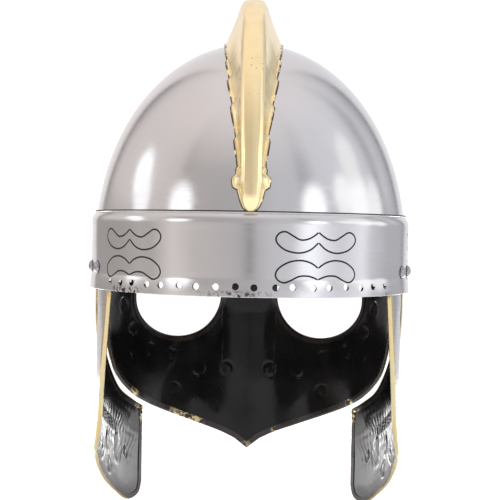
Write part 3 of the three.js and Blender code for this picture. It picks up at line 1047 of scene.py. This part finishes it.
def cheek_relief(degrees, height):
    """How far the punched pattern stands in or out."""
    x = (degrees - CHEEK_FRONT) * 2.0  # millimetres from the front edge
    z = height / MM
    row = Vector(HATCH_HIGH) - Vector(HATCH_LOW)
    from_low = Vector((x, z)) - Vector(HATCH_LOW)
    along = from_low.dot(row.normalized())
    across = (from_low.x * row.y - from_low.y * row.x) / row.length
    ends = math.exp(-(((along - row.length / 2) / (0.56 * row.length)) ** 6))
    beside = math.exp(-((across / 3.6) ** 4))
    relief = HATCH_DEPTH * math.sin(1.9 * along + 0.5 * across) * ends * beside
    worked = 1.0
    for value, middle, reach in zip((x, z), WORKED_MIDDLE, WORKED_REACH):
        worked *= math.exp(-(((value - middle) / reach) ** 4))
    veins = math.sin(0.9 * x + 1.7 * math.sin(0.31 * z)) * math.sin(0.55 * z + 0.4 * x)
    relief += VEIN_DEPTH * worked * veins
    for leaf in LEAVES:
        relief += leaf_relief(x, z, *leaf)
    return relief * MM


def cheek_column(u):
    """Angle, lower and upper height of a column of the plate."""
    end = cheek_lower[-1][0] + 0.2
    degrees = CHEEK_FRONT + (end - CHEEK_FRONT) * u
    low = height_at(cheek_lower, degrees)
    top = height_at(cheek_upper, degrees) if degrees < cheek_upper[-1][0] else PLATE_TOP
    return degrees, low, top


def cheek_place(side):
    def place(u, v):
        degrees, low, top = cheek_column(u)
        height = low + (top - low) * v
        fade = min(1.0, max(0.0, (-8 * MM - height) / (10 * MM)))
        out = fade * (0.6 * hammered(degrees, height) + cheek_relief(degrees, height) - 0.5 * MM)
        return on_oval(side * degrees, height, PLATE_OUT + out)

    return place


# %% Cheek plates
for name, side in (("left", 1), ("right", -1)):
    cheek = wrapped(f"cheek_sheet_{name}", 260, 170, cheek_place(side))
    plated(cheek, SHEET, cheek_paint)
    finished(cheek, "cheek_steel", f"cheek_plate_{name}")

# %% [markdown]
# ## Brass bindings
#
# A raw steel edge cuts, so every free edge is bound: a strip of thin brass is folded over it and
# hammered down. The fold is swept along the edge as a wrapped grid, u along the edge and v round the
# fold, and Solidify gives the strip its thickness. The inside was painted with the plate, and the paint
# has rubbed off along the fold, so the paint's mask reads the grid's own UV map.

# %% Binding finish
BINDING_LAP = 3.3 * MM  # how far the strip laps over the plate
BINDING_STRIP = 0.7 * MM
BINDING_SLACK = 0.3 * MM
BINDING_TOP = -1 * MM
CRUMPLE_HEIGHT = -96 * MM  # the cheek plate's upper front corner
CRUMPLE_REACH = 8 * MM
CRUMPLE_DEPTH = 0.6 * MM
BINDING_INNER = SHEET / 2 + BINDING_SLACK  # the strip's inner face, from the middle of the plate
BINDING_REACH = BINDING_SLACK + BINDING_STRIP  # how far the fold stands past the edge

STRIP_BRASS = (0.60, 0.53, 0.33)
BRASS_DARK_BELOW = (0.20, 0.13, 0.07)
STRIP_PAINT = (0.014, 0.009, 0.006)
PLATE_LOW = RIM - 160 * MM


def bound_finish(name, wear_from, wear_to, bare=()):
    """Brass with black paint on the inner lap: v is 0 at the outer lap's edge and 1 at the inner's.

    Round each point in `bare` the paint has rubbed off in specks, out to the radius beside it."""
    strip = Recipe(name, metallic=1.0)
    rub = strip.noise(55, detail=6, roughness=0.65)
    inner = strip.span(strip.across_map(), wear_from, wear_to, -0.5, 0.5)
    paint = strip.span(strip.combined("ADD", inner, rub), 0.42, 0.5)
    for point, radius in bare:
        away = strip.nodes.new("ShaderNodeVectorMath")
        away.operation = "DISTANCE"
        away.inputs[1].default_value = point
        strip.join(strip.place, away.inputs[0])
        kept = strip.span(away.outputs["Value"], 0.5 * radius, radius)
        rubbed = strip.span(strip.noise(320, detail=3), 0.46, 0.54)
        paint = strip.combined("MULTIPLY", paint, strip.combined("MAXIMUM", kept, rubbed))
    cloud = strip.noise(30, detail=5)
    brass = strip.mixed(strip.span(cloud, 0.4, 0.75, 0, 0.8), STRIP_BRASS, BRASS_DULL)
    # The brass darkens towards the bottom of the plates, over their lowest 60 mm.
    darker_below = strip.span(strip.height(), PLATE_LOW, PLATE_LOW + 60 * MM, 0.85, 0.0)
    brass = strip.mixed(darker_below, brass, BRASS_DARK_BELOW)
    colour = strip.mixed(paint, brass, STRIP_PAINT)
    strip.join(strip.span(paint, 0, 1, 1, 0), strip.shader.inputs["Metallic"])
    roughness = strip.span(strip.noise(80, detail=4), 0.3, 0.7, 0.16, 0.34)
    edge = strip.bump(paint, 0.00012, 0.6, below=strip.bump(strip.noise(60, detail=3), 0.0008, 0.6))
    return strip.finish(colour, roughness, edge)


mask_spots = [(0, 7), (24, 10), (31, 12), (56, 6), (-12, 4), (-49, 5)]  # degrees, millimetres
mask_wear = [(on_oval(a, height_at(mask_lower, abs(a)), PLATE_IN), r * MM) for a, r in mask_spots]
cheek_wear = [(on_oval(side * CHEEK_FRONT, CRUMPLE_HEIGHT, PLATE_IN), 11 * MM) for side in (1, -1)]
painted_binding = bound_finish("painted_binding", 0.3, 0.6, mask_wear)
cheek_strip = bound_finish("cheek_strip", 0.52, 0.86, cheek_wear)
print("binding finishes:", painted_binding.name, cheek_strip.name)


# %% Folding a strip round an edge
def fold_point(v):
    """Place round the fold, as (off the edge, out of the plate): outer lap, round fold, inner lap."""
    mid = BINDING_INNER + BINDING_STRIP / 2
    if v < 0.3:
        return -BINDING_LAP + (BINDING_LAP + BINDING_SLACK - mid * 0.4) * v / 0.3, mid
    if v > 0.7:
        off, _ = fold_point(1 - v)
        return off, -mid
    a = math.pi * (0.5 - (v - 0.3) / 0.4)
    start = BINDING_SLACK - mid * 0.4
    return start + (BINDING_REACH - BINDING_STRIP / 2 - start) * math.cos(a), mid * math.sin(a)


def evenly(line, spacing):
    """The same line with points no further apart than the spacing, and its corners kept."""
    spaced = [line[0]]
    for (a0, z0), (a1, z1) in zip(line, line[1:]):
        length = math.hypot((a1 - a0) * oval_scale((a0 + a1) / 2), z1 - z0)
        steps = max(1, round(length / spacing))
        spaced += [(a0 + (a1 - a0) * i / steps, z0 + (z1 - z0) * i / steps) for i in range(1, steps + 1)]
    return spaced


def crumple(degrees, height):
    """The strip is nipped into small folds where it turns the cheek plate's upper front corner."""
    x = (abs(degrees) - CHEEK_FRONT) * oval_scale(CHEEK_FRONT)
    z = height - CRUMPLE_HEIGHT
    near = math.exp(-((math.hypot(x, z) / CRUMPLE_REACH) ** 4))
    return CRUMPLE_DEPTH * near * max(0.0, math.sin((x + 1.6 * z) / (0.7 * MM)))


def bound(name, line, finish, *nodes):
    """A folded strip along a line of (degrees, height) with the plate on its left, seen from outside."""
    middle = (PLATE_OUT + PLATE_IN) / 2

    def heading(i):
        (a0, z0), (a1, z1) = line[i], line[i + 1]
        return Vector(((a1 - a0) * oval_scale((a0 + a1) / 2), z1 - z0)).normalized()

    def place(u, v):
        i = min(len(line) - 1, round(u * (len(line) - 1)))
        before, after = heading(max(0, i - 1)), heading(min(len(line) - 2, i))
        along = (before + after).normalized()
        mitre = 1 / max(0.5, along.dot(after))
        off, out = fold_point(v)
        degrees = line[i][0] + along.y * mitre * off / oval_scale(line[i][0])
        height = line[i][1] - along.x * mitre * off
        if out < 0 and name.startswith("cheek"):
            out -= crumple(degrees, height)
        return on_oval(degrees, height, middle + out + nose_lift(degrees, height))

    strip = wrapped(name, len(line) - 1, 20, place)
    face_out(strip)
    press(strip, "SOLIDIFY", thickness=BINDING_STRIP, offset=0)
    smooth(strip, 50)
    strip.data.materials.append(finish)
    finished(strip, "binding_brass", *nodes)


def under_rim(line):
    """The stretch of a line below the rim, cut off level."""
    kept = [point for point in line if point[1] < BINDING_TOP - 0.5 * MM]
    first, last = line.index(kept[0]), line.index(kept[-1])

    def level(start, end):
        share = (BINDING_TOP - start[1]) / (end[1] - start[1])
        return (start[0] + share * (end[0] - start[0]), BINDING_TOP)

    if first > 0:
        kept.insert(0, level(line[first], line[first - 1]))
    if last < len(line) - 1:
        kept.append(level(line[last], line[last + 1]))
    return kept


def mirrored(line):
    return [(-a, z) for a, z in reversed(line)]


# %% Bindings
EDGE_STEP = 1.5 * MM
mask_edge = evenly(under_rim(mirrored(mask_lower[1:]) + mask_lower), EDGE_STEP)
bound("mask_strip", mask_edge, painted_binding, "mask_binding")

eye_line = [(eye_angle(i / 48), eye_low(i / 48)) for i in range(49)]
eye_line = [(eye_line[0][0], BINDING_TOP)] + eye_line + [(eye_line[-1][0], BINDING_TOP)]
eye_line = evenly(eye_line, EDGE_STEP)
bound("eye_strip_left", eye_line[::-1], painted_binding, "eye_binding_left")
bound("eye_strip_right", mirrored(eye_line)[::-1], painted_binding, "eye_binding_right")

cheek_line = evenly(under_rim(cheek_upper)[::-1] + under_rim(cheek_lower), EDGE_STEP)
bound("cheek_strip_left", cheek_line, cheek_strip, "cheek_binding_left")
bound("cheek_strip_right", mirrored(cheek_line), cheek_strip, "cheek_binding_right")

# %% [markdown]
# ## Rivets
#
# Two rivets hold each cheek plate and six hold the mask. Each rivet is a circle extruded through a
# profile: a flat peened end inside, a shank, and a low domed head with a seam round its foot, painted
# dark as painted shade.

# %% One rivet
RIVET_HEIGHT = 14 * MM
RIVET_HEAD = 3.8 * MM
RIVET_CROWN = 2.4 * MM
RIVET_FOOT = 3 * MM
RIVET_SHANK = 1.7 * MM
RIVET_PLAY = 0.3 * MM
RIVET_PEEN = 0.9 * MM  # thickness of the flat end inside
SEAM_WIDTH = 0.5 * MM
SEAM_DEPTH = 0.12 * MM
CHEEK_RIVETS = [102.2, 113.4]
MASK_RIVETS = [5.5, 61, 74]


def rivet(name, degrees, *nodes):
    """A domed rivet through the wall at this angle."""
    head = BAND_OUT + RIVET_PLAY - 0.2 * MM
    foot = PLATE_IN - RIVET_PLAY
    bpy.ops.object.select_all(action="DESELECT")
    tip = (0, 0, foot - RIVET_PEEN)
    bpy.ops.mesh.primitive_circle_add(vertices=32, radius=RIVET_FOOT, fill_type="NGON", location=tip)
    obj = started(name)
    bpy.ops.object.transform_apply(location=True, rotation=True, scale=True)
    bpy.ops.object.mode_set(mode="EDIT")
    bpy.ops.mesh.select_all(action="SELECT")
    radius, height = RIVET_FOOT, foot - RIVET_PEEN
    seam = head + SEAM_DEPTH
    profile = [(RIVET_FOOT, foot), (RIVET_SHANK, foot), (RIVET_SHANK, head)]
    profile += [(RIVET_HEAD + SEAM_WIDTH, head), (RIVET_HEAD + SEAM_WIDTH, seam), (RIVET_HEAD, seam)]
    for step in range(9):
        a = math.radians(8 + 80 * step / 8)
        profile.append((RIVET_HEAD * math.cos(a), head + RIVET_CROWN * math.sin(a)))
    for next_radius, next_height in profile:
        bpy.ops.mesh.extrude_region_move(TRANSFORM_OT_translate={"value": (0, 0, next_height - height)})
        scale = next_radius / radius
        bpy.ops.transform.resize(value=(scale, scale, 1), center_override=(0, 0, next_height))
        radius, height = next_radius, next_height
    bpy.ops.mesh.select_all(action="SELECT")
    bpy.ops.mesh.normals_make_consistent(inside=False)
    bpy.ops.object.mode_set(mode="OBJECT")
    obj.data.materials.append(rivet_steel)
    obj.data.materials.append(painted_shade_dark)
    for face in obj.data.polygons:
        if head - 0.01 * MM < face.center.z < seam + 0.01 * MM:
            face.material_index = 1  # painted shade in the seam round the head
    point_out(obj, degrees, RIVET_HEIGHT, 0)
    bpy.ops.object.transform_apply(location=True, rotation=True, scale=True)
    smooth(obj, 40)
    finished(obj, "rivet_steel", *nodes)


for name, side in (("left", 1), ("right", -1)):
    for number, angle in enumerate(CHEEK_RIVETS, start=1):
        rivet(f"cheek_stud_{name}_{number}", side * angle, f"cheek_rivet_{name}_{number}")
    for number, angle in enumerate(MASK_RIVETS, start=1):
        rivet(f"mask_stud_{name}_{number}", side * angle, f"mask_rivet_{name}_{number}")

# %% [markdown]
# ## Floor, backdrop and light
#
# The helmet is held up as on a head, over a plain pale floor.

# %% Floor
FLOOR = cad_box[0][2] - 60 * MM
bpy.ops.object.select_all(action="DESELECT")
bpy.ops.mesh.primitive_plane_add(size=2, location=(0, 0, FLOOR))
floor = started("floor")
bpy.ops.object.transform_apply(location=True, rotation=True, scale=True)
paper = Recipe("pale_paper", metallic=0.0)
grain = paper.noise(8, detail=2)
pale = paper.mixed(grain, (0.93, 0.93, 0.93), (0.95, 0.95, 0.95))
paper.shader.inputs["Emission Color"].default_value = (1, 1, 1, 1)
paper.shader.inputs["Emission Strength"].default_value = 0.45
floor.data.materials.append(paper.finish(pale, paper.span(grain, 0, 1, 0.7, 0.8)))
print("floor at", round(FLOOR, 3))

# %% [markdown]
# Polished metal shows the room more than it shows itself, so the room is painted with care: white paper
# behind the helmet, grey walls on the side where it is looked at from, and soft round windows. The
# world's gradient turns round the vertical axis, and a ramp gives each direction its brightness. The
# paper behind stays plain white to the eye.

# %% Room
world = bpy.data.worlds.new("studio")
bpy.context.scene.world = world
world.use_nodes = True
WALLS = [  # degrees from the nape side towards +X, brightness, low down
    (-180, 0.95),
    (-152, 0.95),
    (-147, 0.4),
    (-139, 0.62),
    (-118, 0.66),
    (-102, 0.86),
    (-92, 1.3),
    (-84, 1.15),
    (-70, 0.98),
    (-58, 1.2),
    (-48, 1.55),
    (-40, 1.5),
    (-32, 0.9),
    (-14, 0.8),
    (-5, 0.7),
    (0, 0.4),
    (6, 0.66),
    (20, 0.7),
    (42, 0.76),
    (53, 0.9),
    (59, 1.0),
    (66, 0.86),
    (78, 0.62),
    (90, 0.66),
    (106, 0.56),
    (122, 0.5),
    (140, 0.46),
    (147, 0.4),
    (151, 0.95),
    (180, 0.95),
]
UPPER = [  # the same for the upper walls
    (-180, 0.96),
    (-151, 0.96),
    (-146, 0.36),
    (-140, 0.66),
    (-130, 0.86),
    (-122, 0.58),
    (-114, 0.9),
    (-98, 1.0),
    (-86, 0.98),
    (-60, 0.9),
    (-50, 0.66),
    (-44, 0.6),
    (-38, 0.78),
    (-20, 0.8),
    (0, 0.62),
    (24, 0.6),
    (48, 0.62),
    (59, 0.58),
    (66, 0.8),
    (90, 0.92),
    (120, 0.9),
    (132, 0.84),
    (139, 0.66),
    (145, 0.34),
    (150, 0.96),
    (180, 0.96),
]

nodes, links = world.node_tree.nodes, world.node_tree.links
place = nodes.new("ShaderNodeTexCoord").outputs["Generated"]
turned = nodes.new("ShaderNodeMapping")
turned.inputs["Scale"].default_value = (-1, 1, 1)
turned.inputs["Rotation"].default_value = (0, 0, math.radians(-90))
links.new(place, turned.inputs["Vector"])
around = nodes.new("ShaderNodeTexGradient")
around.gradient_type = "RADIAL"
links.new(turned.outputs["Vector"], around.inputs["Vector"])


def round_the_room(steps):
    ramp = nodes.new("ShaderNodeValToRGB")
    while len(ramp.color_ramp.elements) < len(steps):
        ramp.color_ramp.elements.new(0.5)
    for element, (degrees, light) in zip(ramp.color_ramp.elements, steps):
        element.position = 0.5 + degrees / 360
        element.color = (light, light, light, 1)
    links.new(around.outputs["Fac"], ramp.inputs["Fac"])
    return ramp.outputs["Color"]


walls, upper_walls = round_the_room(WALLS), round_the_room(UPPER)
print("room:", len(WALLS), "and", len(UPPER), "brightness steps round the helmet")

# %% [markdown]
# The ceiling is even and light, so the walls fade into it with height. One side of the room is warmer
# than the other by a few percent, and a few soft round windows give the bowl its bright spots.

# %% Ceiling, tint, windows and the white behind
parts = nodes.new("ShaderNodeSeparateXYZ")
links.new(place, parts.inputs[0])


def rise(low, high):
    node = nodes.new("ShaderNodeMapRange")
    node.inputs["From Min"].default_value = low
    node.inputs["From Max"].default_value = high
    links.new(parts.outputs["Z"], node.inputs["Value"])
    return node.outputs["Result"]


def mix_colours(kind, factor, first, second):
    node = nodes.new("ShaderNodeMix")
    node.data_type = "RGBA"
    node.blend_type = kind
    sockets = (node.inputs["Factor"], node.inputs[6], node.inputs[7])
    for socket, source in zip(sockets, (factor, first, second)):
        if isinstance(source, (tuple, float)):
            socket.default_value = source
        else:
            links.new(source, socket)
    return node.outputs[2]


sideways = nodes.new("ShaderNodeMapRange")
sideways.inputs["From Min"].default_value = -0.7
sideways.inputs["From Max"].default_value = 0.7
links.new(parts.outputs["X"], sideways.inputs["Value"])
tint = mix_colours("MIX", sideways.outputs["Result"], (0.98, 0.99, 1.04, 1), (1.06, 0.98, 0.95, 1))
lower = mix_colours("MIX", rise(0.04, 0.2), walls, upper_walls)
upper = mix_colours("MIX", rise(0.55, 0.95), lower, (1.02, 0.99, 0.97, 1))
room = mix_colours("MULTIPLY", 1.0, upper, tint)


def direction(around_degrees, up_degrees):
    a, e = math.radians(around_degrees), math.radians(up_degrees)
    return Vector((math.sin(a) * math.cos(e), math.cos(a) * math.cos(e), math.sin(e)))


def glow(under, around_degrees, up_degrees, radius, light):
    """Adds a soft round window in one direction, counted like the walls."""
    facing = nodes.new("ShaderNodeVectorMath")
    facing.operation = "DOT_PRODUCT"
    facing.inputs[1].default_value = direction(around_degrees, up_degrees)
    links.new(place, facing.inputs[0])
    fade = nodes.new("ShaderNodeMapRange")
    fade.interpolation_type = "SMOOTHSTEP"
    fade.inputs["From Min"].default_value = math.cos(math.radians(radius * 1.5))
    fade.inputs["From Max"].default_value = math.cos(math.radians(radius * 0.6))
    links.new(facing.outputs["Value"], fade.inputs["Value"])
    return mix_colours("MIX", fade.outputs["Result"], under, (light, light, light, 1))


WINDOWS = [  # around, up, radius in degrees, brightness
    (102, 21, 7, 1.9),
    (96, 14, 7, 1.7),
    (57, 16, 8, 2.0),
    (-52, 16, 9, 1.8),
    (-80, 19, 7, 1.5),
    (-95, 14, 9, 1.6),
    (-112, 10, 7, 1.4),
    (-96, 30, 8, 1.3),
]
for around_degrees, up_degrees, radius, light in WINDOWS:
    room = glow(room, around_degrees, up_degrees, radius, light)
eye = nodes.new("ShaderNodeLightPath")
seen = mix_colours("MIX", eye.outputs["Is Camera Ray"], room, (1.1, 1.1, 1.1, 1))
links.new(seen, nodes["Background"].inputs["Color"])
print("world colour comes from", seen.node.name)


# %% Light
def soft_light(name, place, target, size, power):
    bpy.ops.object.light_add(type="AREA", location=place)
    light = started(name)
    light.data.shape = "RECTANGLE"
    light.data.size, light.data.size_y = size
    light.data.energy = power
    light.rotation_mode = "QUATERNION"
    light.rotation_quaternion = (Vector(place) - Vector(target)).to_track_quat("Z", "Y")


for name, x, y, size, power in (
    ("far_panel_left", 0.36, -0.68, (0.5, 0.5), 3.6),
    ("far_panel_right", -0.36, -0.68, (0.5, 0.5), 3.6),
    ("near_panel_left", 0.24, -0.24, (0.24, 0.3), 0.35),
    ("near_panel_right", -0.24, -0.24, (0.24, 0.3), 0.35),
):
    soft_light(name, (x, y, FLOOR + 20 * MM), (x, y, 1), size, power)
